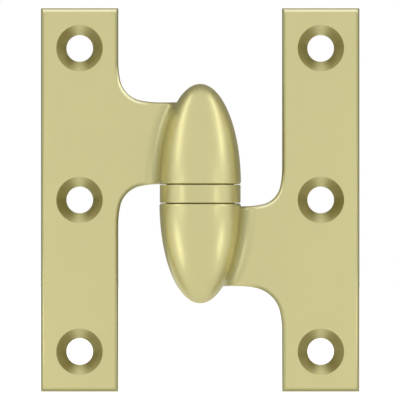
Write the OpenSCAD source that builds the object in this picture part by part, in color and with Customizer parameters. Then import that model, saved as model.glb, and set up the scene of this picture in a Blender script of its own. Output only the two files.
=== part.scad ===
// Olive knuckle hinge with lift-off leaves and a ball bearing ring between its knuckles.
// It lies open: the countersunk faces look along -Y and the pin stands along Z.
// The origin is on the pin's axis, at half the height of the leaves.
// The door leaf is at -X and carries the upper knuckle, the frame leaf at +X the lower.

/* [Leaves] */
// Height of a leaf
leaf_h = 76.2; // [70:0.1:110]
// Width over both leaves when they lie open
open_w = 63.3; // [60:0.1:80]
// Width of the strip that is screwed down
strip_w = 15.35; // [12:0.05:17]
// Thickness of a leaf
leaf_t = 3; // [2.6:0.1:3.6]
// Distance of a leaf's front face behind the pin's axis
leaf_set = 1; // [0.5:0.1:1.4]
// Rounding along the front edges
edge_r = 0.8; // [0.3:0.1:1]

/* [Arms] */
// Height of the door leaf's arm, upward from its knuckle's end
door_arm_h = 16.26; // [12:0.02:17]
// Height of the frame leaf's arm
frame_arm_h = 15.84; // [12:0.02:16.4]
// Step from the frame leaf's knuckle end to its arm
frame_arm_step = 0.6; // [0:0.1:1]

/* [Corners] */
// Radius at which every corner runs out into the straight edges
corner_run_r = 18; // [12:0.5:22]
// Angle of each run-out
corner_run_a = 12; // [6:1:16]
// Inner radius of the door leaf's two corners
door_corner_r = 5.2; // [4:0.1:7]
// Inner radius of the frame leaf's corner beside the ring
frame_corner_near_r = 4.6; // [4:0.1:7]
// Inner radius of the frame leaf's other corner
frame_corner_far_r = 6.4; // [4:0.1:7]

/* [Screw holes] */
// Number of holes in a leaf
screw_n = 3; // [2:1:4]
// Diameter of a screw hole
screw_d = 5.3; // [4:0.1:5.6]
// Diameter of the countersink at the face
sink_d = 9.2; // [7.5:0.1:9.6]
// Angle of the countersink
sink_a = 82; // [82:1:90]
// Distance of the end holes from the leaf's ends
screw_end = 7.94; // [7:0.02:12]

/* [Knuckles] */
// Diameter of a knuckle at its end face
knuckle_d = 16.2; // [15.4:0.1:18]
// Length of a knuckle from its end face to its tip
knuckle_l = 19.9; // [19:0.1:23]
// Rounding of the end face's rim
knuckle_rim = 0.5; // [0.2:0.1:0.6]
// Radius of the blend from knuckle to arm at the front
blend_front_r = 3.5; // [2.5:0.1:4]
// Radius of the blend at the back
blend_back_r = 2; // [1.5:0.1:2.5]

/* [Pin] */
// Diameter of the pin
pin_d = 6.35; // [5.5:0.05:6.6]
// Radial clearance of the pin in the door leaf's knuckle
pin_fit = 0.05; // [0.03:0.01:0.1]
// Depth to which the pin is pressed into the frame leaf's knuckle
pin_seat = 14; // [10:0.5:14.5]
// Length of the pin inside the door leaf's knuckle
pin_reach = 13.5; // [9:0.5:14]
// Free depth past the pin's end
pin_gap = 1; // [0.5:0.1:1.2]
// Chamfer on the pin's ends
pin_cut = 0.6; // [0.3:0.1:1]

/* [Bearing] */
// Height of the bearing between the two knuckles
bearing_h = 3.8; // [3.6:0.1:4.4]
// Height of the bearing's middle above the middle of the leaves
bearing_z = 1.23; // [-2:0.01:2]
// How far the ring's side lies inside the knuckles' side
case_set = 0.08; // [0:0.02:0.2]
// Wall of the ring
case_wall = 1.2; // [1:0.1:1.4]
// Chamfer on the ring's edges
case_cut = 0.15; // [0.1:0.01:0.2]
// Gap between the ring and each knuckle
case_gap = 0.1; // [0.08:0.01:0.15]
// Thickness of a race
race_t = 1.4; // [1.3:0.05:1.45]
// Radial clearance of the upper race in the ring
race_fit = 0.08; // [0.05:0.01:0.1]
// Radial clearance of the races round the pin
race_bore_fit = 0.15; // [0.1:0.05:0.3]
// Diameter of a ball
ball_d = 1.588; // [1.5:0.001:1.6]
// Clearance round a ball in the races and the cage
ball_fit = 0.05; // [0.03:0.01:0.06]
// Number of balls
ball_n = 14; // [8:1:14]
// Thickness of the cage
cage_t = 0.6; // [0.4:0.1:0.6]
// Radial clearance of the cage in the ring and round the pin
cage_fit = 0.25; // [0.2:0.05:0.35]

/* [Hidden] */
function two_digits(n) = str(n < 10 ? "0" : "", n);
BALL_NAMES = [for (i = [1:ball_n]) str("ball_", two_digits(i))];

BRASS = [0.81, 0.78, 0.56];
STEEL = [0.72, 0.73, 0.75];
CAGE_BRASS = [0.78, 0.66, 0.36];

$fn = 96;
// Extra reach of a cutting tool past the surface that it cuts
cut = 1;
// How far a surface that joins another tangentially is sunk below it
sink = 0.03;
// Overlap of roundings that follow each other round a corner
lap = 0.05;
// Chords of a run-out
run_n = 2;
// Segments of a knuckle's long curve
olive_n = 26;
// Radius of the flat at a knuckle's tip
tip_flat_r = 0.3;
// Segments of a small rounding
round_n = 4;
// Segments across and along a blend
blend_n = 9;
blend_rows = 9;
// How far a blend's hidden back reaches below the leaf's face
blend_depth = 0.9;

knuckle_r = knuckle_d / 2;
pin_r = pin_d / 2;
upper_z = bearing_z + bearing_h / 2;
lower_z = bearing_z - bearing_h / 2;
axis_to_strip = open_w / 2 - strip_w;
screw_pitch = (leaf_h - 2 * screw_end) / (screw_n - 1);
sink_depth = (sink_d - screw_d) / 2 / tan(sink_a / 2);
case_r = knuckle_r - case_set;
case_bore_r = case_r - case_wall;
race_bore_r = pin_r + race_bore_fit;
ball_r = ball_d / 2;
ball_track_r = (case_bore_r + race_bore_r) / 2;

// Radius of a knuckle at height h above its end face
function olive_r(h) =
    h < knuckle_rim
        ? knuckle_r - knuckle_rim + sqrt(max(0, knuckle_rim^2 - (knuckle_rim - h)^2))
        : knuckle_r * sqrt(max(0, 1 - (h / knuckle_l)^2));

// Outline of half a knuckle: the rim's rounding, a quarter of an ellipse, a tiny flat at the tip
function olive_outline() = concat(
    [[0, 0]],
    [for (i = [0:round_n]) let(a = 90 * i / round_n)
        [knuckle_r - knuckle_rim + knuckle_rim * sin(a), knuckle_rim * (1 - cos(a))]],
    let(low = asin(knuckle_rim / knuckle_l), high = acos(tip_flat_r / knuckle_r))
        [for (i = [1:olive_n]) let(t = low + (high - low) * i / olive_n)
            [knuckle_r * cos(t), knuckle_l * sin(t)]],
    [[0, knuckle_l * sin(acos(tip_flat_r / knuckle_r))]]
);

// Reach of a corner's curve along both edges
function corner_reach(r) =
    corner_run_r * (1 - cos(corner_run_a) + sin(corner_run_a))
    + r * (cos(corner_run_a) - sin(corner_run_a));

// Points of the run-out from the straight edge x = 0 down to the inner arc
function run_out(r) = [for (i = [0:run_n]) let(a = 180 + corner_run_a * i / run_n)
    [corner_run_r, corner_reach(r)] + corner_run_r * [cos(a), sin(a)]];

// The same points on the arm's side, from the inner arc out to the edge y = 0
function run_in(r) = [for (i = [run_n:-1:0]) let(p = run_out(r)[i]) [p[1], p[0]]];

function corner_centre(r) = run_out(r)[run_n] + r * [cos(corner_run_a), sin(corner_run_a)];

// Drop of an edge rounding at distance d from the edge
function round_drop(d) = d >= edge_r ? 0 : edge_r - sqrt(edge_r^2 - (edge_r - d)^2);

// Heights of a blend's sections between a0 and a1, closer together in the roundings
function blend_heights(a0, a1) = concat(
    [for (i = [1:3]) a0 + edge_r * (1 - cos(30 * i))],
    [for (i = [1:blend_rows - 1]) a0 + edge_r + (a1 - a0 - 2 * edge_r) * i / blend_rows],
    [for (i = [3:-1:1]) a1 - edge_r * (1 - cos(30 * i))]
);

// One section of a blend of radius f at height h. The knuckle is a circle about the
// origin, the leaf's face is the line y = face, and the blend touches both.
function blend_section(h, face, f) =
    let(
        r = olive_r(h) - sink,
        flat = face - sink,
        cy = flat + f,
        cx = -sqrt((r + f)^2 - cy^2),
        foot = -90,
        top = atan2(-cy, -cx)
    )
    concat(
        [for (i = [0:blend_n]) let(a = foot + (top - foot) * i / blend_n)
            [cx + f * cos(a), cy + f * sin(a), h]],
        [[-r / 3, flat - blend_depth, h], [cx, flat - blend_depth, h]]
    );

// Front edge of a straight side, rounded in a few flats: the metal lies at x < 0 and y < 0
module round_profile() {
    polygon(concat(
        [for (i = [0:round_n]) let(a = 90 * i / round_n)
            edge_r * [sin(a) - 1, cos(a) - 1]],
        [[cut, -edge_r], [cut, cut], [-edge_r, cut]]
    ));
}

// Removes the front rounding along a straight edge that runs along +X from the origin
module edge_cutter(length) {
    rotate([90, 0, 90]) linear_extrude(length) round_profile();
}

// Rounds the front along the chords of a path that has the open side on its left
module path_cutter(path) {
    for (i = [0:len(path) - 2]) {
        step = path[i + 1] - path[i];
        translate(path[i]) rotate(atan2(step[1], step[0])) translate([-lap, 0, 0])
            edge_cutter(norm(step) + 2 * lap);
    }
}

// Metal that fills a corner between the strip's edge x = 0 and the arm's edge y = 0
module corner_fill(r) {
    reach = corner_reach(r);
    translate([0, 0, -leaf_t]) linear_extrude(leaf_t) polygon(concat(
        run_out(r), run_in(r), [[reach, -cut], [-cut, -cut], [-cut, reach]]
    ));
}

// Clears the inner arc of a corner and rounds the front edge round it
module corner_cutter(r) {
    translate(corner_centre(r)) rotate_extrude() {
        translate([0, -leaf_t - cut]) square([r, leaf_t + 2 * cut]);
        translate([r, 0]) mirror([1, 0]) round_profile();
    }
    path_cutter(run_out(r));
    path_cutter(run_in(r));
}

// The flat of a leaf, face up at z = 0, with its arm toward +X.
// a0 and a1 are the arm's edges, mid the leaf's middle, all along Y from the knuckle's end.
module plate(mid, a0, a1, r0, r1) {
    left = -open_w / 2;
    inner = -axis_to_strip;
    low = mid - leaf_h / 2;
    high = mid + leaf_h / 2;
    difference() {
        union() {
            translate([left, low, -leaf_t]) cube([strip_w, leaf_h, leaf_t]);
            translate([inner - cut, a0, -leaf_t]) cube([axis_to_strip, a1 - a0, leaf_t]);
            translate([inner, a1, 0]) corner_fill(r1);
            translate([inner, a0, 0]) mirror([0, 1]) corner_fill(r0);
        }
        translate([inner, a1, 0]) corner_cutter(r1);
        translate([inner, a0, 0]) mirror([0, 1]) corner_cutter(r0);
        // ends and outer side
        path_cutter([[left - cut, high], [inner + cut, high]]);
        mirror([0, 1]) path_cutter([[left - cut, -low], [inner + cut, -low]]);
        path_cutter([[left, low - cut], [left, high + cut]]);
        // inner side above and below the arm
        path_cutter([[inner, high + cut], [inner, a1 + corner_reach(r1)]]);
        mirror([0, 1]) path_cutter([[inner, cut - low], [inner, corner_reach(r0) - a0]]);
        // the arm's two edges
        path_cutter([[inner + corner_reach(r1), a1], [0, a1]]);
        mirror([0, 1]) path_cutter([[inner + corner_reach(r0), -a0], [0, -a0]]);
    }
}

module screw_holes(mid) {
    for (i = [0:screw_n - 1])
        translate([-(open_w - strip_w) / 2, mid - leaf_h / 2 + screw_end + i * screw_pitch, 0]) {
            translate([0, 0, -leaf_t - cut]) cylinder(d = screw_d, h = leaf_t + 2 * cut);
            translate([0, 0, -sink_depth]) cylinder(
                h = sink_depth + cut,
                r1 = screw_d / 2,
                r2 = sink_d / 2 + cut * tan(sink_a / 2)
            );
        }
}

// The concave sweep between knuckle and arm on one side of the arm.
// face is the height of the leaf's surface above the pin's axis, rounded its edge's rounding.
module blend(a0, a1, face, f, rounded) {
    heights = blend_heights(a0, a1);
    rows = len(heights);
    sides = blend_n + 3;
    points = [for (h = heights)
        let(drop = rounded ? round_drop(min(h - a0, a1 - h)) : 0)
        each blend_section(h, face - drop, f)];
    walls = [for (k = [0:rows - 2], i = [0:sides - 1])
        let(a = k * sides + i, b = k * sides + (i + 1) % sides, c = a + sides, d = b + sides)
        each [[a, b, c], [b, d, c]]];
    // each end is a fan of triangles from the section's corner inside the knuckle, which sees its whole arc
    arc_ends = [for (i = [0:blend_n - 1]) [blend_n + 1, i + 1, i]];
    end = concat(arc_ends, [[blend_n + 2, blend_n + 1, 0]]);
    last = (rows - 1) * sides;
    far_end = [for (t = end) [t[0] + last, t[2] + last, t[1] + last]];
    polyhedron(points, concat(walls, end, far_end), convexity = 6);
}

// A whole leaf with its knuckle standing up from the origin and its strip at -X
module leaf(mid, a0, a1, r0, r1, bore_r, bore_depth) {
    color(BRASS) difference() {
        union() {
            translate([0, leaf_set, 0]) rotate([90, 0, 0]) plate(mid, a0, a1, r0, r1);
            rotate_extrude() polygon(olive_outline());
            mirror([0, 1, 0]) blend(a0, a1, -leaf_set, blend_front_r, true);
            blend(a0, a1, leaf_set + leaf_t, blend_back_r, false);
        }
        translate([0, 0, -cut]) cylinder(r = bore_r, h = bore_depth + cut);
        translate([0, leaf_set, 0]) rotate([90, 0, 0]) screw_holes(mid);
    }
}

// Left leaf, for the door: its knuckle turns on the pin and lifts off it
module door_leaf() {
    translate([0, 0, upper_z]) leaf(
        mid = -upper_z, a0 = 0, a1 = door_arm_h,
        r0 = door_corner_r, r1 = door_corner_r,
        bore_r = pin_r + pin_fit, bore_depth = pin_reach + pin_gap
    );
}

// Right leaf, for the frame: the same form turned over, with the pin pressed in
module frame_leaf() {
    translate([0, 0, lower_z]) rotate([0, 180, 0]) leaf(
        mid = lower_z, a0 = frame_arm_step, a1 = frame_arm_step + frame_arm_h,
        r0 = frame_corner_near_r, r1 = frame_corner_far_r,
        bore_r = pin_r, bore_depth = pin_seat
    );
}

module pin() {
    low = lower_z - pin_seat;
    high = upper_z + pin_reach;
    color(STEEL) rotate_extrude() polygon([
        [0, low], [pin_r - pin_cut, low], [pin_r, low + pin_cut],
        [pin_r, high - pin_cut], [pin_r - pin_cut, high], [0, high]
    ]);
}

// The ring that shows between the knuckles
module bearing_case() {
    half = bearing_h / 2 - case_gap;
    color(BRASS) translate([0, 0, bearing_z]) rotate_extrude() polygon([
        [case_bore_r, -half], [case_r - case_cut, -half], [case_r, case_cut - half],
        [case_r, half - case_cut], [case_r - case_cut, half], [case_bore_r, half]
    ]);
}

// A grooved washer whose flat back lies on a knuckle's end face at z = 0
module race(outer_r) {
    color(STEEL) rotate_extrude() difference() {
        translate([race_bore_r, 0]) square([outer_r - race_bore_r, race_t]);
        translate([ball_track_r, bearing_h / 2]) circle(ball_r + ball_fit);
    }
}

module lower_race() {
    translate([0, 0, lower_z]) race(case_bore_r);
}

module upper_race() {
    translate([0, 0, upper_z]) mirror([0, 0, 1]) race(case_bore_r - race_fit);
}

// Places its children at ball i's seat on the track
module at_ball(i) {
    translate([0, 0, bearing_z]) rotate(360 * (i - 1) / ball_n) translate([ball_track_r, 0, 0])
        children();
}

module ball_cage() {
    color(CAGE_BRASS) difference() {
        translate([0, 0, bearing_z - cage_t / 2]) difference() {
            cylinder(r = case_bore_r - cage_fit, h = cage_t);
            translate([0, 0, -cut]) cylinder(r = pin_r + cage_fit, h = cage_t + 2 * cut);
        }
        for (i = [1:ball_n]) at_ball(i) cylinder(r = ball_r + ball_fit, h = cage_t + cut, center = true);
    }
}

module ball(i) {
    color(STEEL) at_ball(i) sphere(ball_r, $fn = 32);
}

door_leaf();
frame_leaf();
pin();
bearing_case();
lower_race();
upper_race();
ball_cage();
for (i = [1:ball_n])
    ball(i);
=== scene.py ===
"""Lift-off hinge with olive knuckles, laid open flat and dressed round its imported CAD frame.

Every size below is in millimetres, as in part.scad, and is turned into metres where a mesh is laid.
A leaf is described in its own frame: x runs from the pin toward the knuckle's free side, h from the
knuckle's end face toward its tip, and n out of the leaf's front. The strip lies at -x.
"""
import logging
import math
from collections.abc import Callable
from dataclasses import dataclass, field
from enum import Enum

import bmesh
import bpy
import numpy as np
from mathutils import Matrix, Vector


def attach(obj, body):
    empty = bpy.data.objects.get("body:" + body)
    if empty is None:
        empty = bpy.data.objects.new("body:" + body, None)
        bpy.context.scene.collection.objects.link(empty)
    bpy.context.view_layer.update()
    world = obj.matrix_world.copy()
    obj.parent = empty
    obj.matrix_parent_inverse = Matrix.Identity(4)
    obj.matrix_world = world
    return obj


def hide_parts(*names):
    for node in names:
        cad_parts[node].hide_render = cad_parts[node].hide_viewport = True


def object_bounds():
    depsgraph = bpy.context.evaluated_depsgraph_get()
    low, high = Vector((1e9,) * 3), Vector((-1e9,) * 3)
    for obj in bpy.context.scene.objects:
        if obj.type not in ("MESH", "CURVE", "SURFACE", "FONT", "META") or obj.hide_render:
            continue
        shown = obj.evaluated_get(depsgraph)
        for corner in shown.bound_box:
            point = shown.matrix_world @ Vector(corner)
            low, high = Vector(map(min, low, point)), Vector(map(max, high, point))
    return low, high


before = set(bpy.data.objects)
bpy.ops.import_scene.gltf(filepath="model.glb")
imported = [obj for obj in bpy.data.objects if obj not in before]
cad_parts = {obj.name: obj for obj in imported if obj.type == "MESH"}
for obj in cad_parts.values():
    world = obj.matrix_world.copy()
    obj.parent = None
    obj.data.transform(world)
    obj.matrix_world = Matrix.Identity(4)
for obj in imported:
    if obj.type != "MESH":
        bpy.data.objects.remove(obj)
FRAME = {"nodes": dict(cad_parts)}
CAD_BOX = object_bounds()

LOG = logging.getLogger("hinge")
MM = 0.001

# distance of the leaves' front faces behind the pin's axis, and the rounding of their edges
FACE_Y = 1.0
EDGE_R = 0.8

# heights of the two knuckles' end faces, above and below the ring
UPPER_END = 3.13
LOWER_END = -0.67

Sockets = tuple[bpy.types.NodeSocket, ...]


def deselect_all() -> None:
    """Leaves object mode with nothing selected."""
    if bpy.context.object and bpy.context.object.mode != "OBJECT":
        bpy.ops.object.mode_set(mode="OBJECT")
    bpy.ops.object.select_all(action="DESELECT")


def pick(*objects: bpy.types.Object) -> None:
    """Selects the objects alone and makes the first one active.

    Args:
        objects: the objects to select.
    """
    deselect_all()
    for item in objects:
        item.select_set(True)
    bpy.context.view_layer.objects.active = objects[0]


def join(target: bpy.types.Object, *others: bpy.types.Object) -> bpy.types.Object:
    """Joins objects into one.

    Args:
        target: the object that stays.
        others: the objects that go into it.

    Returns:
        The target.
    """
    pick(target, *others)
    bpy.ops.object.join()
    return target


def apply_modifier(target: bpy.types.Object, kind: str, **values: object) -> None:
    """Adds a modifier with the given values and applies it.

    Args:
        target: the object to change.
        kind: the modifier's type.
        values: settings of the modifier, by name.
    """
    modifier = target.modifiers.new(kind.lower(), kind)
    for name, value in values.items():
        setattr(modifier, name, value)
    pick(target)
    bpy.ops.object.modifier_apply(modifier=modifier.name)


def laid_grid(name: str, points: np.ndarray) -> bpy.types.Object:
    """Adds a grid and lays its vertices on a table of points.

    Args:
        name: the object's name.
        points: rows x columns x 3 positions in metres.

    Returns:
        The grid's object, with its rows and columns in the table's order.
    """
    rows, columns = points.shape[:2]
    deselect_all()
    bpy.ops.mesh.primitive_grid_add(x_subdivisions=columns - 1, y_subdivisions=rows - 1, size=2)
    grid = bpy.context.object
    grid.name = grid.data.name = name
    for vertex in grid.data.vertices:
        column = round((vertex.co.x + 1) / 2 * (columns - 1))
        row = round((vertex.co.y + 1) / 2 * (rows - 1))
        vertex.co = points[row, column]
    return grid


def smooth_by_angle(target: bpy.types.Object, degrees: float) -> None:
    """Smooths faces that meet at a small angle and weights their normals by area.

    Args:
        target: the object to smooth.
        degrees: largest angle between faces that are smoothed together.
    """
    pick(target)
    bpy.ops.object.shade_smooth_by_angle(angle=math.radians(degrees), keep_sharp_edges=False)
    apply_modifier(target, "WEIGHTED_NORMAL", weight=90, keep_sharp=True)


def clean_shell(target: bpy.types.Object) -> None:
    """Merges doubles and turns every face outward.

    Args:
        target: the object to clean.
    """
    pick(target)
    bpy.ops.object.mode_set(mode="EDIT")
    bpy.ops.mesh.select_mode(type="VERT")
    bpy.ops.mesh.select_all(action="SELECT")
    bpy.ops.mesh.remove_doubles(threshold=2e-7)
    bpy.ops.mesh.normals_make_consistent(inside=False)
    bpy.ops.object.mode_set(mode="OBJECT")


def open_edges(target: bpy.types.Object) -> int:
    """Counts the edges that don't join exactly two faces.

    Args:
        target: the object to look at.

    Returns:
        Their number, 0 for a closed shell.
    """
    shell = bmesh.new()
    shell.from_mesh(target.data)
    count = sum(1 for edge in shell.edges if len(edge.link_faces) != 2)
    shell.free()
    return count


class NodeSheet:
    """Adds and links nodes in one tree, so that an effect reads as a row of steps."""

    def __init__(self, tree: bpy.types.NodeTree) -> None:
        """Takes the tree that the nodes go into."""
        self.nodes, self.links = tree.nodes, tree.links

    def feed(self, socket: bpy.types.NodeSocket, value: object) -> None:
        """Links a socket to another one, or sets a plain value on it.

        Args:
            socket: the input to feed.
            value: a socket, a number or a colour.
        """
        if isinstance(value, bpy.types.NodeSocket):
            self.links.new(value, socket)
        else:
            socket.default_value = value

    def step(self, operation: str, *values: object) -> bpy.types.NodeSocket:
        """Adds one math node.

        Args:
            operation: the node's operation.
            values: its inputs, sockets or plain numbers.

        Returns:
            The socket with the result.
        """
        node = self.nodes.new("ShaderNodeMath")
        node.operation = operation
        for socket, value in zip(node.inputs, values):
            self.feed(socket, value)
        return node.outputs[0]

    def span(
        self, value: object, start: object, end: object, low: float = 0.0, high: float = 1.0
    ) -> bpy.types.NodeSocket:
        """Turns one range of a value into another, held at both ends.

        Args:
            value: the socket to turn.
            start: where the first range starts, a socket or a number.
            end: where it ends.
            low: result at the start.
            high: result at the end.

        Returns:
            The socket with the result.
        """
        node = self.nodes.new("ShaderNodeMapRange")
        parts = {"Value": value, "From Min": start, "From Max": end, "To Min": low, "To Max": high}
        for label, part in parts.items():
            self.feed(node.inputs[label], part)
        return node.outputs["Result"]

    def curve(self, value: object, stops: tuple[tuple[float, float], ...]) -> bpy.types.NodeSocket:
        """Reads a value between 0 and 1 off a chain of stops.

        Args:
            value: the socket or number to look up.
            stops: pairs of place and result, in rising order.

        Returns:
            The socket with the result.
        """
        node = self.nodes.new("ShaderNodeValToRGB")
        ramp = node.color_ramp.elements
        ramp[0].position, ramp[-1].position = stops[0][0], stops[-1][0]
        for place, _ in stops[1:-1]:
            ramp.new(place)
        for element, (_, result) in zip(ramp, stops):
            element.color = (result, result, result, 1.0)
        self.feed(node.inputs["Fac"], value)
        return node.outputs["Color"]

    def noise(
        self, place: bpy.types.NodeSocket, scale: object, detail: float, roughness: float = 0.5
    ) -> bpy.types.NodeSocket:
        """Adds one noise texture.

        Args:
            place: the coordinates to read.
            scale: how fine it is, a socket or a number.
            detail: how many finer layers it has.
            roughness: how much each finer layer shows.

        Returns:
            The socket with its value.
        """
        node = self.nodes.new("ShaderNodeTexNoise")
        parts = {"Vector": place, "Scale": scale, "Detail": detail, "Roughness": roughness}
        for label, part in parts.items():
            self.feed(node.inputs[label], part)
        return node.outputs["Fac"]

    def bump(self, height: object, strength: float, under: object = None) -> bpy.types.NodeSocket:
        """Turns a height into a normal.

        Args:
            height: the socket with the height.
            strength: how much it shows.
            under: the normal of a relief below this one, if any.

        Returns:
            The socket with the normal.
        """
        node = self.nodes.new("ShaderNodeBump")
        for label, part in (("Height", height), ("Strength", strength), ("Distance", 0.02 * MM)):
            self.feed(node.inputs[label], part)
        if under is not None:
            self.feed(node.inputs["Normal"], under)
        return node.outputs["Normal"]

    def effect(self, tree: bpy.types.NodeTree, **values: float) -> bpy.types.NodeOutputs:
        """Places a shared effect.

        Args:
            tree: the effect's node group.
            values: its inputs by name, with _ for a space.

        Returns:
            The outputs of the placed group.
        """
        node = self.nodes.new("ShaderNodeGroup")
        node.node_tree = tree
        for label, part in values.items():
            self.feed(node.inputs[label.replace("_", " ")], part)
        return node.outputs

    def xyz(self, vector: bpy.types.NodeSocket) -> bpy.types.NodeOutputs:
        """Takes a vector apart.

        Args:
            vector: the socket to take apart.

        Returns:
            Its parts, named X, Y and Z.
        """
        node = self.nodes.new("ShaderNodeSeparateXYZ")
        self.feed(node.inputs[0], vector)
        return node.outputs

    def blend(self, factor: object, under: object, over: object, kind: str = "MIX") -> bpy.types.NodeSocket:
        """Mixes two colours by a factor.

        Args:
            factor: share of the second colour.
            under: first colour, a socket or four numbers.
            over: second colour, a socket or four numbers.
            kind: the way they mix.

        Returns:
            The socket with the mixed colour.
        """
        node = self.nodes.new("ShaderNodeMix")
        node.data_type = "RGBA"
        node.blend_type = kind
        for label, part in (("Factor", factor), ("A", under), ("B", over)):
            self.feed(node.inputs[label], part)
        return node.outputs["Result"]


class Effects:
    """Shader node groups that the finishes share. Each is built once, from Object coordinates.

    Attributes:
        SLOW_SCALE: how fine the noise is that tone and gloss follow.
        MASK_RANGE: where most of that noise's values lie.
        FAN_POWER: how narrow the fans of painted highlight on a countersink are.
        RIPPLE: share of a fan that follows the turned marks.
        LEAN: how much the lower fan is brighter than the upper one, either way from their mean.
        BESIDE: where the hollow's shade starts and is full, from the pin toward the strip.
        ROOT_FADE: length over which the edges' painted light and shade come in past the knuckle.
        FACING_UP: upward part of the normal at which an edge starts to count as upper, and fully does.
        HOLLOW_SHADE: painted shade of the hollow beside a knuckle, from the leaf's face forward.
        EDGE_HIGHLIGHT: painted highlight of an upper edge, from the leaf's face down its rounding.
        EDGE_SHADE: painted shade of the other edges, from the leaf's face down their rounding.
    """

    SLOW_SCALE = 160.0
    MASK_RANGE = (0.3, 0.7)
    FAN_POWER = 6.0
    RIPPLE = 0.15
    LEAN = 0.18
    BESIDE = (-1.0, -4.0)
    ROOT_FADE = 2.5
    FACING_UP = (0.02, 0.14)
    HOLLOW_SHADE = (
        (0.0, 0.0), (0.003, 0.14), (0.013, 0.26), (0.03, 0.42), (0.056, 0.62),
        (0.09, 0.79), (0.136, 0.77), (0.2, 0.68), (0.3, 0.58), (0.47, 0.47),
        (0.6, 0.42), (0.714, 0.32), (0.8, 0.19), (0.857, 0.05), (1.0, 0.0),
    )
    EDGE_HIGHLIGHT = ((0.0, 0.0), (0.004, 0.7), (0.04, 1.0), (0.12, 1.0), (0.25, 0.6), (0.6, 0.1), (1.0, 0.0))
    EDGE_SHADE = ((0.0, 0.0), (0.003, 0.15), (0.03, 0.4), (0.12, 0.8), (0.4, 1.0), (0.8, 0.4), (1.0, 0.0))

    @staticmethod
    def group(
        name: str,
        inputs: dict[str, float],
        outputs: tuple[str, ...],
        wire: Callable[[NodeSheet, bpy.types.NodeOutputs, bpy.types.NodeOutputs], Sockets],
    ) -> bpy.types.ShaderNodeTree:
        """Makes a node group, or finds it where it is made already.

        Args:
            name: the group's name.
            inputs: its inputs and their values to start with.
            outputs: names of its outputs.
            wire: lays its nodes, given the sheet, the group's inputs and the texture coordinates, and
                gives one socket for each output.

        Returns:
            The node group.
        """
        if name in bpy.data.node_groups:
            return bpy.data.node_groups[name]
        tree = bpy.data.node_groups.new(name, "ShaderNodeTree")
        for label, value in inputs.items():
            entry = tree.interface.new_socket(label, in_out="INPUT", socket_type="NodeSocketFloat")
            entry.default_value = value
        for label in outputs:
            tree.interface.new_socket(label, in_out="OUTPUT", socket_type="NodeSocketFloat")
        start, end = tree.nodes.new("NodeGroupInput"), tree.nodes.new("NodeGroupOutput")
        place = tree.nodes.new("ShaderNodeTexCoord")
        for label, socket in zip(outputs, wire(NodeSheet(tree), start.outputs, place.outputs)):
            tree.links.new(socket, end.inputs[label])
        return tree

    @classmethod
    def grain(cls) -> bpy.types.ShaderNodeTree:
        """Fine tumbled grain, with Height for the bump and a slow Mask for tone and gloss.

        Returns:
            The node group.
        """

        def wire(sheet: NodeSheet, given: bpy.types.NodeOutputs, place: bpy.types.NodeOutputs) -> Sockets:
            """Lays a fine noise and a slow one.

            Args:
                sheet: where the nodes go.
                given: the group's inputs.
                place: the texture coordinates.

            Returns:
                The height and the mask.
            """
            fine = sheet.noise(place["Object"], given["Scale"], detail=3.0, roughness=0.6)
            return fine, sheet.noise(place["Object"], cls.SLOW_SCALE, detail=4.0)

        return cls.group("fine_grain", {"Scale": 9000.0}, ("Height", "Mask"), wire)

    @classmethod
    def turned(cls) -> bpy.types.ShaderNodeTree:
        """Turned marks round the screw holes as Height, and a painted highlight above and below each hole as
        PaintedSheen.

        Returns:
            The node group.
        """

        def wire(sheet: NodeSheet, given: bpy.types.NodeOutputs, place: bpy.types.NodeOutputs) -> Sockets:
            """Lays rings round the nearest hole, and two fans of painted highlight.

            Args:
                sheet: where the nodes go.
                given: the group's inputs.
                place: the texture coordinates.

            Returns:
                The height and the painted sheen.
            """
            at = sheet.xyz(place["Object"])
            across = sheet.step("SUBTRACT", sheet.step("ABSOLUTE", at["X"]), given["Hole X"])
            half = sheet.step("MULTIPLY", given["Pitch"], 0.5)
            along = sheet.step("WRAP", at["Z"], half, sheet.step("MULTIPLY", half, -1.0))
            level = sheet.step("MULTIPLY", along, along)
            square = sheet.step("ADD", sheet.step("MULTIPLY", across, across), level)
            turns = sheet.step("DIVIDE", sheet.step("SQRT", square), given["Spacing"])
            wave = sheet.step("SINE", sheet.step("MULTIPLY", turns, 2 * math.pi))
            # painted highlight: two fans, above and below each hole
            upright = sheet.step("POWER", sheet.step("DIVIDE", level, square), cls.FAN_POWER)
            ripple = sheet.step("ADD", 1.0 - cls.RIPPLE, sheet.step("MULTIPLY", wave, cls.RIPPLE))
            lean = sheet.step("MULTIPLY", sheet.step("SIGN", along), cls.LEAN)
            lower = sheet.step("SUBTRACT", 1.0 - cls.LEAN, lean)
            return wave, sheet.step("MULTIPLY", sheet.step("MULTIPLY", upright, ripple), lower)

        inputs = {"Hole X": 0.024, "Pitch": 0.03, "Spacing": 0.0003}
        return cls.group("turned_marks_and_painted_sheen", inputs, ("Height", "PaintedSheen"), wire)

    @classmethod
    def recess(cls) -> bpy.types.ShaderNodeTree:
        """Painted shade in the hollow between a leaf's face and its knuckle.

        Returns:
            The node group.
        """

        def wire(sheet: NodeSheet, given: bpy.types.NodeOutputs, place: bpy.types.NodeOutputs) -> Sockets:
            """Reads how far forward a point stands, on the strip's side of its knuckle alone.

            Args:
                sheet: where the nodes go.
                given: the group's inputs.
                place: the texture coordinates.

            Returns:
                The shade.
            """
            at = sheet.xyz(place["Object"])
            proud = sheet.step("SUBTRACT", FACE_Y * MM, at["Y"])
            forward = sheet.step("DIVIDE", proud, given["Depth of Fade"])
            outward = sheet.step("MULTIPLY", at["X"], sheet.step("SIGN", at["Z"]))
            beside = sheet.span(outward, *(x * MM for x in cls.BESIDE))
            # painted shade, strongest a little in front of the face on the strip's side of the knuckle
            return (sheet.step("MULTIPLY", sheet.curve(forward, cls.HOLLOW_SHADE), beside),)

        return cls.group("recess_shade", {"Depth of Fade": 0.007}, ("Shade",), wire)

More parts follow.
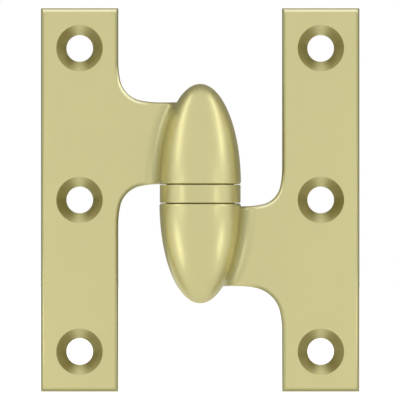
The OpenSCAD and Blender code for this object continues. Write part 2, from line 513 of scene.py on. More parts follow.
    @classmethod
    def rims(cls) -> bpy.types.ShaderNodeTree:
        """Painted light and shade on the rounded front edges past the Root: Lit is a painted highlight on
        upper ones, Dim a painted shade on the others.

        Returns:
            The node group.
        """

        def wire(sheet: NodeSheet, given: bpy.types.NodeOutputs, place: bpy.types.NodeOutputs) -> Sockets:
            """Reads how far down the rounding a point lies, and whether it faces up.

            Args:
                sheet: where the nodes go.
                given: the group's inputs.
                place: the texture coordinates.

            Returns:
                The painted highlight and the painted shade.
            """
            at = sheet.xyz(place["Object"])
            drop = sheet.span(at["Y"], FACE_Y * MM, (FACE_Y + EDGE_R) * MM)
            root = given["Root"]
            full = sheet.step("ADD", root, cls.ROOT_FADE * MM)
            away = sheet.span(sheet.step("ABSOLUTE", at["X"]), root, full)
            up = sheet.span(sheet.xyz(place["Normal"])["Z"], *cls.FACING_UP)
            down = sheet.step("SUBTRACT", 1.0, up)
            # painted highlight on edges that face up, painted shade on the side and lower edges
            lit = sheet.step("MULTIPLY", sheet.curve(drop, cls.EDGE_HIGHLIGHT), up)
            dim = sheet.step("MULTIPLY", sheet.curve(drop, cls.EDGE_SHADE), down)
            return sheet.step("MULTIPLY", lit, away), sheet.step("MULTIPLY", dim, away)

        return cls.group("painted_rim_light_and_shade", {"Root": 0.0098}, ("Lit", "Dim"), wire)


@dataclass(frozen=True)
class ScrewHoles:
    """Countersunk holes of a leaf, the same on both leaves.

    Attributes:
        across: distance of their row from the pin's axis.
        pitch: distance from hole to hole.
        count: how many there are.
        bore_d: diameter of the drill.
        sink_d: diameter of the countersink at the face.
        sink_a: its angle in degrees.
    """

    across: float = 23.975
    pitch: float = 30.16
    count: int = 3
    bore_d: float = 5.3
    sink_d: float = 9.2
    sink_a: float = 82.0

    @property
    def slope(self) -> float:
        """How much wider the countersink gets for each millimetre toward the face, on one side."""
        return math.tan(math.radians(self.sink_a / 2))

    @property
    def sink_depth(self) -> float:
        """Depth of the countersink."""
        return (self.sink_d - self.bore_d) / 2 / self.slope

    @property
    def levels(self) -> list[float]:
        """Heights of the holes about the middle of the leaf."""
        return [(i - (self.count - 1) / 2) * self.pitch for i in range(self.count)]


HOLES = ScrewHoles()


@dataclass(frozen=True)
class MetalFinish:
    """A metal surface whose tone, gloss and relief vary finely, with painted light and shade where its fields
    ask for it.

    Attributes:
        name: the material's name.
        light: colour of the brighter patches, linear.
        dark: colour of the darker patches, linear.
        metallic: share of metal reflection.
        roughness: lowest and highest roughness.
        grain_scale: how fine the grain is.
        grain_depth: strength of the grain's bump.
        marks: spacing of turned marks in millimetres, 0 for none.
        mark_depth: strength of the turned marks' bump.
        painted_highlight: colour of the painted highlights on the countersinks' fans and on upper edges,
            linear.
        painted_shading: whether painted shade darkens the hollows and the side and lower edges, and a painted
            highlight lightens the upper edges.
        painted_shade: what is left of the colour under painted shade, linear.
    """

    name: str
    light: tuple[float, float, float]
    dark: tuple[float, float, float]
    metallic: float = 1.0
    roughness: tuple[float, float] = (0.3, 0.36)
    grain_scale: float = 9000.0
    grain_depth: float = 0.04
    marks: float = 0.0
    mark_depth: float = 0.35
    painted_highlight: tuple[float, float, float] = (0.95, 0.91, 0.58)
    painted_shading: bool = False
    painted_shade: tuple[float, float, float] = (0.55, 0.57, 0.58)

    def material(self) -> bpy.types.Material:
        """The finish as a material, built once. One that the frame already holds by this name stays as it is.

        Returns:
            The material.
        """
        if self.name in bpy.data.materials:
            return bpy.data.materials[self.name]
        made = bpy.data.materials.new(self.name)
        made.use_nodes = True
        shader = made.node_tree.nodes["Principled BSDF"]
        sheet = NodeSheet(made.node_tree)
        grain = sheet.effect(Effects.grain(), Scale=self.grain_scale)
        colour = sheet.blend(grain["Mask"], (*self.dark, 1.0), (*self.light, 1.0))
        relief = sheet.bump(grain["Height"], self.grain_depth)
        if self.painted_shading:
            colour = self.paint_light_and_shade(sheet, colour)
        if self.marks:
            turned = sheet.effect(
                Effects.turned(), Hole_X=HOLES.across * MM, Pitch=HOLES.pitch * MM, Spacing=self.marks * MM
            )
            # painted highlight fans on the countersinks
            colour = sheet.blend(turned["PaintedSheen"], colour, (*self.painted_highlight, 1.0))
            relief = sheet.bump(turned["Height"], self.mark_depth, relief)
        feeds = {
            "Base Color": colour,
            "Metallic": self.metallic,
            "Roughness": sheet.span(grain["Mask"], *Effects.MASK_RANGE, *self.roughness),
            "Normal": relief,
        }
        for label, value in feeds.items():
            sheet.feed(shader.inputs[label], value)
        return made

    def paint_light_and_shade(self, sheet: NodeSheet, colour: bpy.types.NodeSocket) -> bpy.types.NodeSocket:
        """Paints shade into a leaf's hollow and onto most of its edges, and paints a highlight onto its upper
        edges.

        Args:
            sheet: where the nodes go.
            colour: the plain colour.

        Returns:
            The socket with the worn colour.
        """
        painted_shade, painted_highlight = (*self.painted_shade, 1.0), (*self.painted_highlight, 1.0)
        # painted shade in the hollow beside the knuckle
        colour = sheet.blend(sheet.effect(Effects.recess())["Shade"], colour, painted_shade, "MULTIPLY")
        # painted shade on side and lower edges, painted highlight on upper edges
        rims = sheet.effect(Effects.rims())
        colour = sheet.blend(rims["Dim"], colour, painted_shade, "MULTIPLY")
        return sheet.blend(rims["Lit"], colour, painted_highlight)

    def dress(self, target: bpy.types.Object) -> None:
        """Gives every face of the object this finish."""
        target.data.materials.clear()
        target.data.materials.append(self.material())


# Brass of the leaves; painted shade goes into its hollows and onto its side and lower edges, and a painted
# highlight onto its upper edges.
SATIN_BRASS = MetalFinish(
    "satin_brass",
    light=(0.672, 0.622, 0.307),
    dark=(0.640, 0.592, 0.289),
    metallic=0.8,
    roughness=(0.30, 0.36),
    painted_shading=True,
)
# Brass of the countersinks, a darker copy of the leaves' brass: its colour holds painted shade for the
# countersinks.
SHADED_TURNED_BRASS = MetalFinish(
    "turned_brass",
    light=(0.42, 0.375, 0.155),
    dark=(0.37, 0.330, 0.135),
    metallic=0.9,
    roughness=(0.28, 0.38),
    marks=0.30,
)
RING_BRASS = MetalFinish(
    "ring_brass",
    light=(0.660, 0.612, 0.302),
    dark=(0.622, 0.575, 0.281),
    metallic=0.8,
    roughness=(0.28, 0.34),
)
# Near-black steel of the races: painted shade for the narrow gaps beside the ring where they show.
GAP_SHADE_RACE_STEEL = MetalFinish(
    "race_steel",
    light=(0.060, 0.052, 0.040),
    dark=(0.045, 0.040, 0.030),
    roughness=(0.4, 0.5),
)
GROUND_STEEL = MetalFinish(
    "ground_steel",
    light=(0.56, 0.57, 0.58),
    dark=(0.48, 0.49, 0.50),
    roughness=(0.18, 0.28),
)

# The frame holds plain materials by the names of the next two, so cage and balls get those instead.
CAGE_BRASS = MetalFinish(
    "cage_brass",
    light=(0.58, 0.42, 0.15),
    dark=(0.50, 0.36, 0.12),
    roughness=(0.32, 0.42),
)
BEARING_STEEL = MetalFinish(
    "bearing_steel",
    light=(0.62, 0.63, 0.64),
    dark=(0.56, 0.57, 0.58),
    roughness=(0.08, 0.14),
)


@dataclass(frozen=True)
class Olive:
    """The knuckle's side: a quarter of an ellipse from end face to tip, with a small rounded rim.

    Attributes:
        radius: radius at the end face.
        length: length from the end face to the tip.
        rim: rounding of the end face's rim.
    """

    radius: float = 8.1
    length: float = 19.9
    rim: float = 0.5

    def at(self, h: float) -> float:
        """Radius of the knuckle at one height.

        Args:
            h: height above the end face.

        Returns:
            The radius there.
        """
        if h < self.rim:
            return self.radius - self.rim + math.sqrt(max(0.0, self.rim**2 - (self.rim - h) ** 2))
        return self.radius * math.sqrt(max(0.0, 1 - (h / self.length) ** 2))


@dataclass(frozen=True)
class Corner:
    """The concave corner between arm and strip: a long run-out, an inner arc and a run-out again.

    Attributes:
        inner_r: radius of the inner arc.
        run_r: radius of the run-outs.
        run_a: angle of each run-out in degrees.
        run_points: points of each run-out.
        arc_points: points of the inner arc.
    """

    inner_r: float
    run_r: float = 18.0
    run_a: float = 12.0
    run_points: int = 6
    arc_points: int = 22

    @property
    def reach(self) -> float:
        """How far the curve runs along both edges."""
        a = math.radians(self.run_a)
        return self.run_r * (1 - math.cos(a) + math.sin(a)) + self.inner_r * (math.cos(a) - math.sin(a))

    def curve(self) -> np.ndarray:
        """Lays the corner between two edges that are the axes.

        Returns:
            Points from the arm's edge round to the strip's edge.
        """
        a = math.radians(self.run_a)
        out = [
            np.array([self.run_r, self.reach]) + self.run_r * np.array([math.cos(t), math.sin(t)])
            for t in np.linspace(math.pi, math.pi + a, self.run_points)
        ]
        centre = out[-1] + self.inner_r * np.array([math.cos(a), math.sin(a)])
        arc = [
            centre + self.inner_r * np.array([math.cos(t), math.sin(t)])
            for t in np.linspace(math.pi + a, 1.5 * math.pi - a, self.arc_points)
        ]
        back = [p[::-1] for p in out[::-1]]
        return np.array((out + arc[1:-1] + back)[::-1])


class Hand(Enum):
    """Which leaf a shape belongs to, and how its own frame stands in the hinge."""

    DOOR = "door"
    FRAME = "frame"

    def place(self, x: float, n: float, h: float) -> tuple[float, float, float]:
        """Turns a point of the leaf's own frame into one of the hinge's.

        Args:
            x: distance from the pin toward the knuckle's free side.
            n: distance out of the leaf's front.
            h: height from the knuckle's end face toward its tip.

        Returns:
            The place in metres.
        """
        if self is Hand.DOOR:
            return (x * MM, -n * MM, (UPPER_END + h) * MM)
        return (-x * MM, -n * MM, (LOWER_END - h) * MM)

    @property
    def skin_name(self) -> str:
        """Name of the leaf's new piece."""
        return f"{self.value}_leaf_skin"


@dataclass
class Leaf:
    """One leaf with its arm and knuckle, as one smooth shell.

    Attributes:
        hand: which leaf it is.
        low: height of the arm's edge next to the ring.
        high: height of the arm's far edge.
        mid: height of the leaf's middle.
        near: corner next to the ring's side.
        far: corner on the tip's side.
        bore_r: radius of the pin's bore.
        bore_depth: depth of that bore.
        olive: the knuckle's curve.
        height: height of the leaf.
        half_open: reach of the strip's outer side from the pin's axis.
        strip_w: width of the strip.
        face: level of the front face.
        back: level of the back face.
        edge_r: rounding along the front edges.
        corner_support: distance from a square corner at which the outline has one more point.
        front_f: radius of the sweep from face to knuckle.
        back_f: radius of the sweep at the back.
        seam_x: where the knuckle's skin meets the plate's.
        edge_steps: rows of an edge rounding.
        rows_between: rows of the knuckle between the arm's roundings.
        flat_steps: faces from the seam to a sweep.
        front_steps: faces across the front sweep.
        round_steps: faces round the knuckle.
        back_steps: faces across the back sweep.
        inner_steps: faces that close a ring of the knuckle behind the arm.
        tip_rings: rings from the arm's far edge to the tip.
        rim_rings: rings down the end face's rim.
        least_r: radius that stands for the tip's point while rings are scaled.
        seam_gap: least distance between the seam and the next point of the outline.
    """

    hand: Hand
    low: float
    high: float
    mid: float
    near: Corner
    far: Corner
    bore_r: float
    bore_depth: float
    olive: Olive = field(default_factory=Olive)
    height: float = 76.2
    half_open: float = 31.65
    strip_w: float = 15.35
    face: float = -FACE_Y
    back: float = -4.0
    edge_r: float = EDGE_R
    corner_support: float = 1.0
    front_f: float = 3.5
    back_f: float = 2.0
    seam_x: float = -11.7
    edge_steps: int = 8
    rows_between: int = 26
    flat_steps: int = 5
    front_steps: int = 12
    round_steps: int = 44
    back_steps: int = 8
    inner_steps: int = 16
    tip_rings: int = 18
    rim_rings: int = 6
    least_r: float = 0.02
    seam_gap: float = 0.05

    def drop(self, depth: float) -> float:
        """Fall of the front's edge rounding.

        Args:
            depth: distance inward from the edge.

        Returns:
            How far the surface lies below the face there.
        """
        if depth >= self.edge_r:
            return 0.0
        return self.edge_r - math.sqrt(self.edge_r**2 - (self.edge_r - depth) ** 2)

    def edge_depths(self) -> list[float]:
        """Distances from an edge at which the rounding has a row."""
        steps = range(self.edge_steps + 1)
        return [self.edge_r * (1 - math.cos(math.pi / 2 * k / self.edge_steps)) for k in steps]

    def row_heights(self) -> list[float]:
        """Spreads the knuckle's rows over the arm.

        Returns:
            Their heights, from the arm's low edge to its high edge.
        """
        depths = self.edge_depths()
        first, span = self.low + self.edge_r, self.high - self.low - 2 * self.edge_r
        between = [first + span * k / self.rows_between for k in range(1, self.rows_between)]
        return [self.low + d for d in depths] + between + [self.high - d for d in reversed(depths)]

    def flare(self, corner: Corner, x: float) -> float:
        """How far a corner's curve has risen past the arm's edge.

        Args:
            corner: the corner.
            x: where along the arm.

        Returns:
            The rise, 0 where the arm is straight.
        """
        along = x - (self.strip_w - self.half_open)
        if along >= corner.reach:
            return 0.0
        curve = corner.curve()[::-1]
        return float(np.interp(along, curve[:, 0], curve[:, 1]))

    def flared(self, x: float, h: float) -> float:
        """Moves a height with the arm's edges, where the corners' curves begin.

        Args:
            x: where along the arm.
            h: height on the straight arm.

        Returns:
            The height on the flared arm.
        """
        middle = (self.low + self.high) / 2
        share = min(1.0, abs(h - middle) / (self.high - middle - self.edge_r))
        if h >= middle:
            return h + self.flare(self.far, x) * share
        return h - self.flare(self.near, x) * share

    def section(self, h: float) -> list[tuple[float, float]]:
        """Front flat, front sweep, knuckle, back sweep and back flat at one height.

        Args:
            h: height above the knuckle's end face.

        Returns:
            Points (x, n) from the seam on the front round to the seam on the back.
        """
        r = self.olive.at(h)
        s = self.face - self.drop(min(h - self.low, self.high - h))
        front_n = s + self.front_f
        front_x = -math.sqrt((r + self.front_f) ** 2 - front_n**2)
        front_end = math.atan2(-front_n, -front_x)
        back_n = self.back - self.back_f
        back_x = -math.sqrt((r + self.back_f) ** 2 - back_n**2)
        back_end = math.atan2(-back_n, -back_x)
        points = [(x, s) for x in np.linspace(self.seam_x, front_x, self.flat_steps + 1)[:-1]]
        for t in np.linspace(-math.pi / 2, front_end, self.front_steps + 1):
            points.append((front_x + self.front_f * math.cos(t), front_n + self.front_f * math.sin(t)))
        start, stop = front_end + math.pi, back_end - math.pi
        for t in np.linspace(start, stop, self.round_steps + 1)[1:-1]:
            points.append((r * math.cos(t), r * math.sin(t)))
        for t in np.linspace(back_end, math.pi / 2, self.back_steps + 1):
            points.append((back_x + self.back_f * math.cos(t), back_n + self.back_f * math.sin(t)))
        points += [(x, self.back) for x in np.linspace(back_x, self.seam_x, self.flat_steps + 1)[1:]]
        return points

    def build_wrap(self) -> bpy.types.Object:
        """Lays the knuckle with its sweeps and the arm's root, up to the seam with the plate.

        Returns:
            The skin's object.
        """
        rows = []
        for h in self.row_heights():
            rows.append([self.hand.place(x, n, self.flared(x, h)) for x, n in self.section(h)])
        return laid_grid("wrap", np.array(rows))

    def outline(self) -> np.ndarray:
        """Lays the outline of the plate.

        Returns:
            Points from the seam round the strip and back to the seam.
        """
        inner = self.strip_w - self.half_open
        top, bottom = self.mid + self.height / 2, self.mid - self.height / 2
        upper = self.far.curve() + [inner, self.high]
        lower = self.near.curve() * [1, -1] + [inner, self.low]
        upper = [p for p in upper if p[0] < self.seam_x - self.seam_gap]
        lower = [p for p in lower if p[0] < self.seam_x - self.seam_gap]
        points = [(self.seam_x, self.flared(self.seam_x, self.high))]
        points += [tuple(p) for p in upper]
        left, k = -self.half_open, self.corner_support
        points += [(inner, top - k), (inner, top), (inner - k, top)]
        points += [(left + k, top), (left, top), (left, top - k)]
        points += [(left, bottom + k), (left, bottom), (left + k, bottom)]
        points += [(inner - k, bottom), (inner, bottom), (inner, bottom + k)]
        points += [tuple(p) for p in lower[::-1]]
        points.append((self.seam_x, self.flared(self.seam_x, self.low)))
        return np.array(points)

    def build_rim(self) -> bpy.types.Object:
        """Lays the plate's sides and its front rounding, as rings of the outline that move inward.

        Returns:
            The rim's object.
        """
        path = self.outline()
        run = np.diff(path, axis=0)
        run /= np.linalg.norm(run, axis=1)[:, None]
        side = np.stack([-run[:, 1], run[:, 0]], axis=1)
        inward = np.zeros_like(path)
        inward[1:-1] = (side[:-1] + side[1:]) / (1 + np.sum(side[:-1] * side[1:], axis=1))[:, None]
        inward[0], inward[-1] = (0, -1), (0, 1)
        rings = [(0.0, self.back)] + [(d, self.face - self.drop(d)) for d in self.edge_depths()]
        rows = [[self.hand.place(x, n, h) for x, h in path + inward * depth] for depth, n in rings]
        return laid_grid("rim", np.array(rows))

    def ring_angles(self, h: float) -> list[float]:
        """Angles of a full ring of vertices at an end of the arm, its outer part matching the skin's.

        Args:
            h: height of the ring.

        Returns:
            The angles, in falling order.
        """
        section = self.section(h)
        first = self.flat_steps + self.front_steps
        outer = [math.atan2(n, x) for x, n in section[first : first + self.round_steps + 1]]
        outer = [a if a <= outer[0] + 1e-9 else a - 2 * math.pi for a in outer]
        gap = np.linspace(outer[-1], outer[0] - 2 * math.pi, self.inner_steps + 1)[1:-1]
        return outer + list(gap)

    def build_cap(self, heights: list[float], closed_at_tip: bool) -> bpy.types.Object:
        """The free end of the knuckle, extruded ring by ring from an arm's edge.

        Args:
            heights: heights of the rings, the first one at the arm's edge.
            closed_at_tip: True to gather the last ring in a point, False for a flat end.

        Returns:
            The cap's object.
        """
        angles = self.ring_angles(heights[0])
        deselect_all()
        bpy.ops.mesh.primitive_circle_add(vertices=len(angles), radius=1, fill_type="NOTHING")
        cap = bpy.context.object
        r = self.olive.at(heights[0])
        for vertex, a in zip(cap.data.vertices, angles):
            vertex.co = self.hand.place(r * math.cos(a), r * math.sin(a), heights[0])
        bpy.ops.object.mode_set(mode="EDIT")
        bpy.ops.mesh.select_mode(type="VERT")
        bpy.ops.mesh.select_all(action="SELECT")
        for before, h in zip(heights, heights[1:]):
            rise = Vector(self.hand.place(0, 0, h)) - Vector(self.hand.place(0, 0, before))
            bpy.ops.mesh.extrude_region_move(TRANSFORM_OT_translate={"value": rise})
            k = max(self.olive.at(h), self.least_r) / max(self.olive.at(before), self.least_r)
            bpy.ops.transform.resize(value=(k, k, 1), center_override=(0, 0, 0))
        if closed_at_tip:
            bpy.ops.mesh.merge(type="CENTER")
        else:
            bpy.ops.mesh.edge_face_add()
        bpy.ops.object.mode_set(mode="OBJECT")
        return cap

    def tip_heights(self) -> list[float]:
        """Ring heights from the arm's high edge to the tip, at even angles of the ellipse."""
        start = math.asin(self.high / self.olive.length)
        return [self.olive.length * math.sin(t) for t in np.linspace(start, math.pi / 2, self.tip_rings)]

    def rim_heights(self) -> list[float]:
        """Ring heights from the arm's low edge down to the end face."""
        rim = self.olive.rim
        return [self.low] + [rim * (1 - math.cos(t)) for t in np.linspace(math.pi / 2, 0, self.rim_rings)]

    def fill_openings(self, shell: bpy.types.Object) -> None:
        """Closes the plate's front and back and the arm's two edges.

        Args:
            shell: the leaf's joined skin.
        """
        slack = 1e-7
        seam, front, back = abs(self.seam_x) * MM, -self.face * MM, -self.back * MM
        middle = self.hand.place(0, 0, (self.low + self.high) / 2)[2]

        def close(test: Callable[[bmesh.types.BMEdge], bool], flat: bool) -> None:
            """Fills one loop of open edges.

            Args:
                test: tells whether an edge belongs to the loop.
                flat: True to fill it with one face, False with a net of triangles.
            """
            pick(shell)
            bpy.ops.object.mode_set(mode="EDIT")
            bpy.ops.mesh.select_mode(type="EDGE")
            bpy.ops.mesh.select_all(action="DESELECT")
            net = bmesh.from_edit_mesh(shell.data)
            for edge in net.edges:
                if len(edge.link_faces) == 1 and test(edge):
                    edge.select_set(True)
            bmesh.update_edit_mesh(shell.data)
            if flat:
                bpy.ops.mesh.edge_face_add()
            else:
                bpy.ops.mesh.fill(use_beauty=True)
            bpy.ops.object.mode_set(mode="OBJECT")

        def on_plate(edge: bmesh.types.BMEdge, y: float) -> bool:
            """True for an edge of the plate's flat at depth y, the seam included."""
            return all(abs(v.co.y - y) < slack and abs(v.co.x) >= seam - slack for v in edge.verts)

        close(lambda edge: on_plate(edge, front), True)
        close(lambda edge: on_plate(edge, back), True)
        close(lambda edge: all(v.co.z > middle for v in edge.verts), False)
        close(lambda edge: all(v.co.z < middle for v in edge.verts), False)

    def cutter_of_holes(self) -> bpy.types.Object:
        """Turns the drill and countersink of one screw hole and copies it to each hole.

        Returns:
            The tools, joined.
        """
        x = self.hand.place(-HOLES.across, 0, 0)[0]
        start, end = -self.back + 1, -self.face + HOLES.sink_depth
        first, *others = HOLES.levels
        deselect_all()
        bpy.ops.mesh.primitive_cylinder_add(
            vertices=128,
            radius=HOLES.bore_d / 2 * MM,
            depth=(start - end) * MM,
            rotation=(math.pi / 2, 0, 0),
            location=(x, (start + end) / 2 * MM, first * MM),
        )
        tool = bpy.context.object
        bpy.ops.object.transform_apply(location=True, rotation=True, scale=True)
        bpy.ops.object.mode_set(mode="EDIT")
        bpy.ops.mesh.select_mode(type="FACE")
        bpy.ops.mesh.select_all(action="DESELECT")
        net = bmesh.from_edit_mesh(tool.data)
        for polygon in net.faces:
            if polygon.normal.y < -0.9:
                polygon.select_set(True)
        bmesh.update_edit_mesh(tool.data)
        over = 0.5
        bpy.ops.mesh.extrude_region_move(
            TRANSFORM_OT_translate={"value": (0, -(HOLES.sink_depth + over) * MM, 0)}
        )
        k = (HOLES.sink_d / 2 + over * HOLES.slope) / (HOLES.bore_d / 2)
        bpy.ops.transform.resize(value=(k, 1, k), center_override=(x, 0, first * MM))
        bpy.ops.object.mode_set(mode="OBJECT")
        SHADED_TURNED_BRASS.dress(tool)
        tools = [tool]
        for level in others:
            pick(tool)
            bpy.ops.object.duplicate()
            copy = bpy.context.object
            copy.location = (0, 0, (level - first) * MM)
            bpy.ops.object.transform_apply(location=True, rotation=False, scale=False)
            tools.append(copy)
        return join(*tools)

    def cutter_of_bore(self) -> bpy.types.Object:
        """Turns the drill of the pin's bore.

        Returns:
            The tool.
        """
        deselect_all()
        over = 1.0
        middle = self.hand.place(0, 0, (self.bore_depth - over) / 2)
        bpy.ops.mesh.primitive_cylinder_add(
            vertices=96, radius=self.bore_r * MM, depth=(self.bore_depth + over) * MM, location=middle
        )
        tool = bpy.context.object
        bpy.ops.object.transform_apply(location=True, rotation=True, scale=True)
        SATIN_BRASS.dress(tool)
        return tool

    def build(self) -> bpy.types.Object:
        """Makes the whole leaf and puts it in the CAD node's place.

        Returns:
            The finished piece.
        """
        parts = [self.build_rim(), self.build_wrap(), self.build_cap(self.tip_heights(), True)]
        if self.low > 0:
            parts.append(self.build_cap(self.rim_heights(), False))
        shell = join(*parts)
        shell.name = shell.data.name = self.hand.skin_name
        clean_shell(shell)
        self.fill_openings(shell)
        clean_shell(shell)
        LOG.info("%s shell: %d open edges before drilling", shell.name, open_edges(shell))
        SATIN_BRASS.dress(shell)
        for tool in (self.cutter_of_holes(), self.cutter_of_bore()):
            apply_modifier(
                shell,
                "BOOLEAN",
                object=tool,
                operation="DIFFERENCE",
                solver="EXACT",
                material_mode="TRANSFER",
            )
            bpy.data.objects.remove(tool, do_unlink=True)
        clean_shell(shell)
        smooth_by_angle(shell, degrees=32)
        return shell

    def dress(self, shell: bpy.types.Object) -> None:
        """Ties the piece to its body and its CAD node.

        Args:
            shell: the finished leaf.
        """
        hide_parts(f"{self.hand.value}_leaf")
        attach(shell, f"{self.hand.value}_half")
        LOG.info("%s: %d faces, %d open edges", shell.name, len(shell.data.polygons), open_edges(shell))


@dataclass
class BearingRing:
    """The brass ring that shows between the knuckles.

    Attributes:
        outer_r: its outer radius.
        wall: its wall.
        half_height: half of its height.
        middle_z: height of its middle.
        chamfer: chamfer on its edges.
    """

    outer_r: float = 8.02
    wall: float = 1.2
    half_height: float = 1.8
    middle_z: float = 1.23
    chamfer: float = 0.15

    def build(self) -> bpy.types.Object:
        """Turns the ring from a cylinder: bored through, then its rims broken.

        Returns:
            The finished piece.
        """
        deselect_all()
        middle = (0, 0, self.middle_z * MM)
        bpy.ops.mesh.primitive_cylinder_add(
            vertices=128, radius=self.outer_r * MM, depth=2 * self.half_height * MM, location=middle
        )
        ring = bpy.context.object
        ring.name = ring.data.name = "bearing_ring_skin"
        bpy.ops.object.transform_apply(location=True, rotation=True, scale=True)
        deselect_all()
        bpy.ops.mesh.primitive_cylinder_add(
            vertices=128,
            radius=(self.outer_r - self.wall) * MM,
            depth=4 * self.half_height * MM,
            location=middle,
        )
        drill = bpy.context.object
        bpy.ops.object.transform_apply(location=True, rotation=True, scale=True)
        apply_modifier(ring, "BOOLEAN", object=drill, operation="DIFFERENCE", solver="EXACT")
        bpy.data.objects.remove(drill, do_unlink=True)
        clean_shell(ring)
        apply_modifier(ring, "BEVEL", width=self.chamfer * MM, segments=2, angle_limit=math.radians(60))
        smooth_by_angle(ring, degrees=35)
        return ring

    def dress(self, ring: bpy.types.Object) -> None:
        """Gives the ring its finish and body, and hides its CAD node.

        Args:
            ring: the finished ring.
        """
        RING_BRASS.dress(ring)
        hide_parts("bearing_case")
        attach(ring, "frame_half")
        LOG.info("%s: %d faces, %d open edges", ring.name, len(ring.data.polygons), open_edges(ring))


@dataclass
class InnerParts:
    """The pin, races, cage and balls, which keep their CAD shape.

    Pin and races get their own metals, the races a near-black one that paints the shade of the gaps they show
    through, and cage and balls the frame's plain ones of the same names.

    Attributes:
        finishes: the finish of each node but the balls, by its name.
        balls: the balls' finish.
    """

    finishes: dict[str, MetalFinish] = field(
        default_factory=lambda: {
            "pin": GROUND_STEEL,
            "lower_race": GAP_SHADE_RACE_STEEL,
            "upper_race": GAP_SHADE_RACE_STEEL,
            "ball_cage": CAGE_BRASS,
        }
    )
    balls: MetalFinish = BEARING_STEEL

    def dress(self) -> None:
        """Gives every CAD node that no new piece replaces the material of its finish's name."""
        for name, node in FRAME["nodes"].items():
            finish = self.finishes.get(name, self.balls if name.startswith("ball_") else None)
            if finish:
                finish.dress(node)
                LOG.info("%s: %s", name, finish.name)


@dataclass(frozen=True)
class Softbox:
    """One rectangular lamp that looks at the hinge, spanned between two directions.

    Attributes:
        name: the lamp's name.
        start: azimuth and elevation of one end, 0, 0 in front and 90, 0 at the right, in degrees.
        end: azimuth and elevation of the other end.
        distance: its distance in metres.
        width: its width in metres.
        radiance: its brightness, where 1 is the white of the surroundings.
        in_reflections: whether polished surfaces show it.
    """

    name: str
    start: tuple[float, float]
    end: tuple[float, float]
    distance: float
    width: float
    radiance: float
    in_reflections: bool = True

    @staticmethod
    def toward(azimuth: float, elevation: float) -> Vector:
        """Unit vector from the hinge in one direction.

        Args:
            azimuth: degrees round the hinge, 0 in front and 90 at the right.
            elevation: degrees above the level.

        Returns:
            The vector.
        """
        a, e = math.radians(azimuth), math.radians(elevation)
        return Vector((math.sin(a) * math.cos(e), -math.cos(a) * math.cos(e), math.sin(e)))

    def build(self) -> None:
        """Adds the lamp, turned toward the hinge with its length from start to end."""
        first, last = self.toward(*self.start), self.toward(*self.end)
        away = (first + last).normalized()
        along = (last - first).normalized()
        across = along.cross(away).normalized()
        lamp = bpy.data.lights.new(self.name, "AREA")
        lamp.shape = "RECTANGLE"
        lamp.size, lamp.size_y = self.width, (last - first).length * self.distance
        lamp.energy = self.radiance * math.pi * lamp.size * lamp.size_y
        stand = bpy.data.objects.new(self.name, lamp)
        turn = Matrix((across, along, away)).transposed().to_4x4()
        stand.matrix_world = Matrix.Translation(away * self.distance) @ turn
        stand.visible_camera = False
        stand.visible_glossy = self.in_reflections
        bpy.context.collection.objects.link(stand)


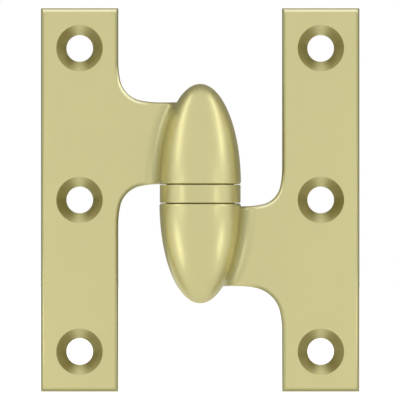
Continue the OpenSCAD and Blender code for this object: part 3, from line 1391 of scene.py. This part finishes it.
@dataclass
class Studio:
    """Pale floor, soft lamps, white surroundings and the photograph's camera.

    Attributes:
        view_width: width that the picture shows at the face, in millimetres.
        lens: focal length, long so that the view is nearly flat.
        sensor: width of the sensor.
        aim: x and z that the camera looks at.
        face_y: y of the plane that view_width is measured in.
        floor_gap: distance of the floor below the hinge.
        surroundings: soft light from all round.
        floor_glow: white that the floor adds for the camera.
        floor_shine: white that the floor adds in reflections.
        card_y: distance of the card behind the hinge, which looks darker than the surroundings.
        card_hole: radius of the card's window.
        card_r: radius of the card.
        card_tone: colour of the card, linear.
    """

    view_width: float = 79.46
    lens: float = 560.0
    sensor: float = 36.0
    aim: tuple[float, float] = (-0.04, -0.01)
    face_y: float = FACE_Y
    floor_gap: float = 0.4
    surroundings: float = 0.4
    floor_glow: float = 0.85
    floor_shine: float = 0.54
    card_y: float = 100.0
    card_hole: float = 20.0
    card_r: float = 1100.0
    card_tone: tuple[float, float, float] = (0.60, 0.575, 0.50)

    def lamps(self) -> list[Softbox]:
        """Lists the soft front lamp and, on each side, a bent chain of narrow ones.

        Returns:
            The lamps.
        """
        made = [Softbox("front_box", (0, -22), (0, 32), 1.6, 1.5, 0.55, in_reflections=False)]
        for side, label, low, foot in (
            (-1, "left", -51, ((-72, -12), (-61, -34))),
            (1, "right", 45, ((66, -14), (60, -30))),
        ):
            made += [
                Softbox(f"{label}_low", (low, -2), (low, 3), 0.085, 0.014, 2.9),
                Softbox(f"{label}_rise", (side * 67, 9), (side * 71, 19), 0.8, 0.13, 1.65),
                Softbox(f"{label}_middle", (side * 70, 17), (side * 78, 38), 0.8, 0.13, 2.0),
                Softbox(f"{label}_high", (side * 78, 38), (side * 91, 61), 0.8, 0.13, 2.0),
                Softbox(f"{label}_foot", *foot, 0.066, 0.010, 2.2),
            ]
        return made

    @staticmethod
    def background_rays(nodes: bpy.types.Nodes, links: bpy.types.NodeLinks) -> bpy.types.NodeSocket:
        """One for rays from the camera and for reflected and refracted ones, else zero.

        Args:
            nodes: the nodes of a material or world.
            links: its links.

        Returns:
            The socket with that value.
        """
        path = nodes.new("ShaderNodeLightPath")
        found = path.outputs["Is Camera Ray"]
        for name in ("Is Glossy Ray", "Is Transmission Ray"):
            either = nodes.new("ShaderNodeMath")
            either.operation = "MAXIMUM"
            links.new(found, either.inputs[0])
            links.new(path.outputs[name], either.inputs[1])
            found = either.outputs[0]
        return found

    def build_floor(self) -> None:
        """A pale floor just under the hinge that meets the white surroundings and keeps a soft shadow."""
        z = self.floor_level() * MM
        deselect_all()
        bpy.ops.mesh.primitive_plane_add(size=3.0, location=(0, 0, z))
        floor = bpy.context.object
        floor.name = floor.data.name = "pale_floor"
        bpy.ops.object.transform_apply(location=True, rotation=True, scale=True)
        made = bpy.data.materials.new("pale_floor")
        made.use_nodes = True
        shader = made.node_tree.nodes["Principled BSDF"]
        shader.inputs["Base Color"].default_value = (0.82, 0.82, 0.81, 1)
        shader.inputs["Roughness"].default_value = 0.9
        shader.inputs["Specular IOR Level"].default_value = 0.1
        shader.inputs["Emission Color"].default_value = (1, 1, 1, 1)
        nodes, links = made.node_tree.nodes, made.node_tree.links
        sheet = NodeSheet(made.node_tree)
        path = nodes.new("ShaderNodeLightPath")
        seen = sheet.step("MULTIPLY", path.outputs["Is Camera Ray"], self.floor_glow)
        mirrored = sheet.step("MULTIPLY", self.background_rays(nodes, links), self.floor_shine)
        links.new(sheet.step("MAXIMUM", seen, mirrored), shader.inputs["Emission Strength"])
        floor.data.materials.append(made)

    def build_dark_card(self) -> None:
        """A card behind the hinge, with a round window and darker than the white, for reflections alone."""
        deselect_all()
        bpy.ops.mesh.primitive_circle_add(
            vertices=64,
            radius=self.card_r * MM,
            fill_type="NGON",
            rotation=(math.pi / 2, 0, 0),
            location=(0, self.card_y * MM, 0),
        )
        card = bpy.context.object
        card.name = card.data.name = "dark_card"
        bpy.ops.object.transform_apply(location=True, rotation=True, scale=True)
        bpy.ops.object.mode_set(mode="EDIT")
        bpy.ops.mesh.select_all(action="SELECT")
        bpy.ops.mesh.inset(thickness=(self.card_r - self.card_hole) * MM)
        bpy.ops.mesh.delete(type="FACE")
        bpy.ops.object.mode_set(mode="OBJECT")
        made = bpy.data.materials.new("dark_card")
        made.use_nodes = True
        shader = made.node_tree.nodes["Principled BSDF"]
        shader.inputs["Base Color"].default_value = (*self.card_tone, 1.0)
        shader.inputs["Roughness"].default_value = 1.0
        card.data.materials.append(made)
        card.visible_camera = card.visible_diffuse = card.visible_shadow = False
        card.visible_transmission = False

    def floor_level(self) -> float:
        """Height of the floor in millimetres, just below the hinge."""
        return CAD_BOX[0].z / MM - self.floor_gap

    def build_world(self) -> None:
        """White for the camera and for reflections, and a plainer level for soft light."""
        world = bpy.data.worlds.new("white_surroundings")
        bpy.context.scene.world = world
        world.use_nodes = True
        nodes, links = world.node_tree.nodes, world.node_tree.links
        shade = nodes["Background"]
        shade.inputs["Color"].default_value = (1, 1, 1, 1)
        level = nodes.new("ShaderNodeMapRange")
        level.inputs["To Min"].default_value = self.surroundings
        level.inputs["To Max"].default_value = 1.0
        links.new(self.background_rays(nodes, links), level.inputs["Value"])
        links.new(level.outputs["Result"], shade.inputs["Strength"])

    def build_camera(self) -> None:
        """A long lens straight in front, framed as the photograph is."""
        lens = bpy.data.cameras.new("front_camera")
        lens.sensor_width = self.sensor
        lens.lens = self.lens
        distance = self.view_width * self.lens / self.sensor
        lens.clip_start, lens.clip_end = 0.05, 10.0
        camera = bpy.data.objects.new("front_camera", lens)
        camera.location = (self.aim[0] * MM, (self.face_y - distance) * MM, self.aim[1] * MM)
        camera.rotation_euler = (math.pi / 2, 0, 0)
        bpy.context.collection.objects.link(camera)
        bpy.context.scene.camera = camera

    def build(self) -> None:
        """Builds the whole studio."""
        self.build_floor()
        self.build_dark_card()
        self.build_world()
        lamps = self.lamps()
        for lamp in lamps:
            lamp.build()
        self.build_camera()
        bpy.context.scene.view_settings.view_transform = "Standard"
        LOG.info("studio: %d lamps", len(lamps))


def main() -> None:
    """Builds and dresses every piece, then the studio round them."""
    logging.basicConfig(level=logging.INFO, format="%(name)s: %(message)s")
    leaves = (
        Leaf(
            Hand.DOOR,
            low=0.0,
            high=16.26,
            mid=-UPPER_END,
            near=Corner(5.2),
            far=Corner(5.2),
            bore_r=3.225,
            bore_depth=14.5,
        ),
        Leaf(
            Hand.FRAME,
            low=0.6,
            high=16.44,
            mid=LOWER_END,
            near=Corner(4.6),
            far=Corner(6.4),
            bore_r=3.175,
            bore_depth=14.0,
        ),
    )
    for leaf in leaves:
        leaf.dress(leaf.build())
    ring = BearingRing()
    ring.dress(ring.build())
    InnerParts().dress()
    Studio().build()


if __name__ == "__main__":
    main()
